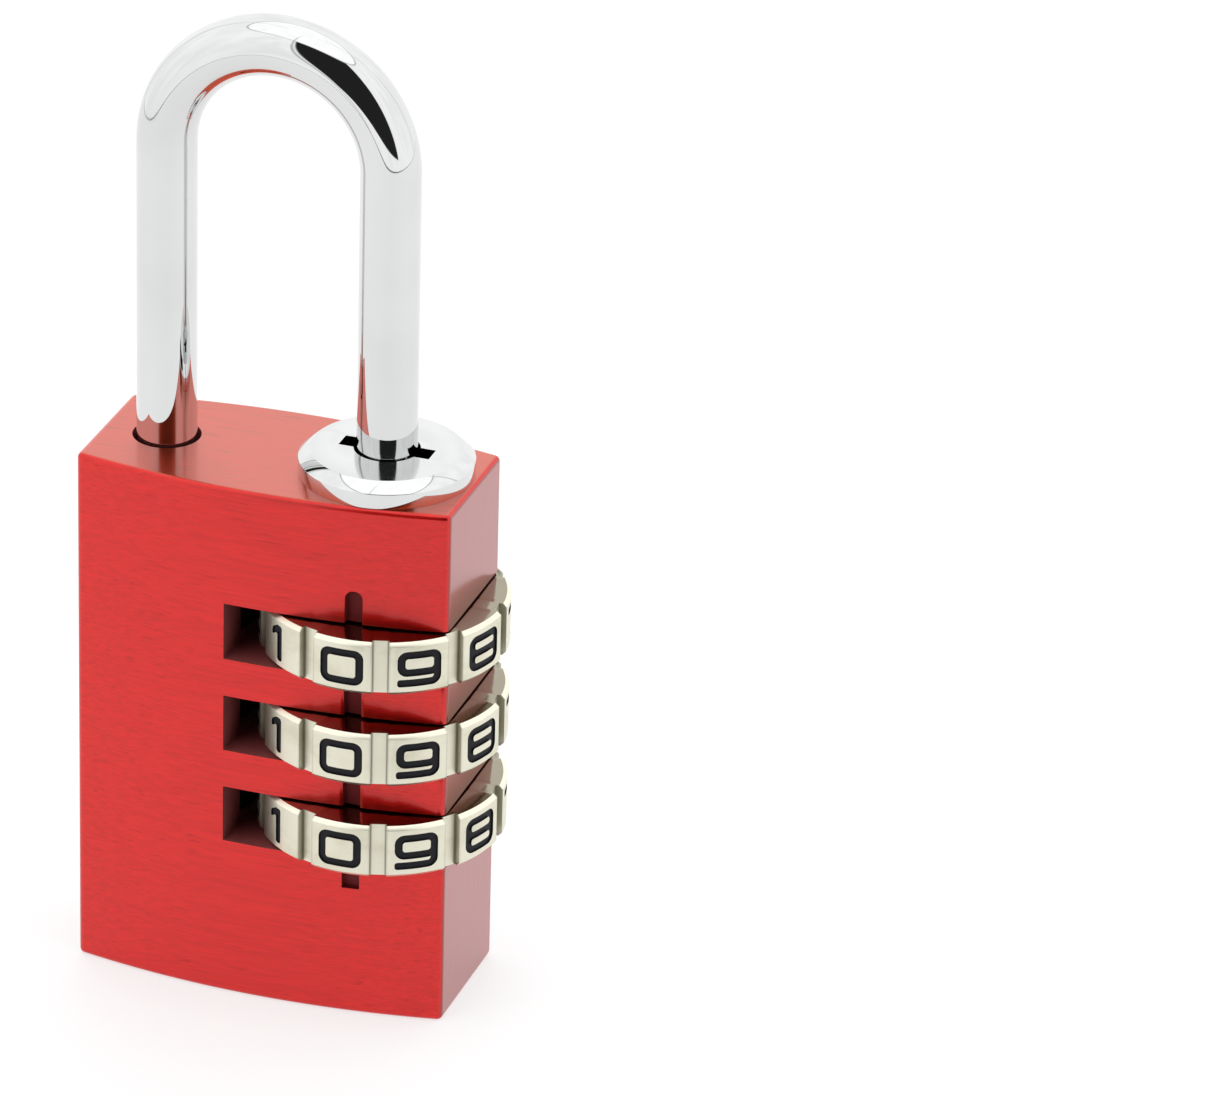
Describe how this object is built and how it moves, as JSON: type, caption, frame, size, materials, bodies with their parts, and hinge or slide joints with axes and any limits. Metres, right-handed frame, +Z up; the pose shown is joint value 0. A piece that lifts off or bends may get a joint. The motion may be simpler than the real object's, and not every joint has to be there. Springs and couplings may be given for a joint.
{
  "type": "combination padlock",
  "caption": "Small padlock with a curved rectangular body, a lifting U shackle, and numbered code dials that turn in slots at one side.",
  "frame": {"origin": "centre of the body's flat bottom face", "axes": "+Z up towards the shackle, -Y the front face with the index line, +X the side where the dials stand out"},
  "size_m": [0.0216, 0.0128, 0.0525],
  "materials": {
    "red_anodised": "brushed, anodised red",
    "polished_chrome": "mirror polished plating",
    "satin_nickel": "satin nickel plating with black-filled numbers",
    "sleeve_brass": "machined",
    "spring_steel": "plain spring steel"
  },
  "bodies": {
    "lock_body": {"body": "red_anodised", "shackle_bush": "polished_chrome", "detent_spring_top": "spring_steel", "detent_spring_middle": "spring_steel", "detent_spring_bottom": "spring_steel", "spring_washer": "spring_steel", "reset_spring": "spring_steel"},
    "shackle": {"shackle": "polished_chrome"},
    "top_dial_set": {"dial_top": "satin_nickel", "code_sleeve_top": "sleeve_brass"},
    "middle_dial_set": {"dial_middle": "satin_nickel", "code_sleeve_middle": "sleeve_brass"},
    "bottom_dial_set": {"dial_bottom": "satin_nickel", "code_sleeve_bottom": "sleeve_brass"}
  },
  "joints": [
    {"name": "shackle_lift", "type": "slide", "parent": "lock_body", "child": "shackle", "axis": [0, 0, 1], "range_m": [0, 0.008]},
    {"name": "dial_top_turn", "type": "hinge", "parent": "lock_body", "child": "top_dial_set", "pos_m": [0.00525, 0, 0.0208], "axis": [0, 0, 1], "continuous": true, "deforming": ["detent_spring_top"]},
    {"name": "dial_middle_turn", "type": "hinge", "parent": "lock_body", "child": "middle_dial_set", "pos_m": [0.00525, 0, 0.0156], "axis": [0, 0, 1], "continuous": true, "deforming": ["detent_spring_middle"]},
    {"name": "dial_bottom_turn", "type": "hinge", "parent": "lock_body", "child": "bottom_dial_set", "pos_m": [0.00525, 0, 0.0104], "axis": [0, 0, 1], "continuous": true, "deforming": ["detent_spring_bottom"]}
  ]
}
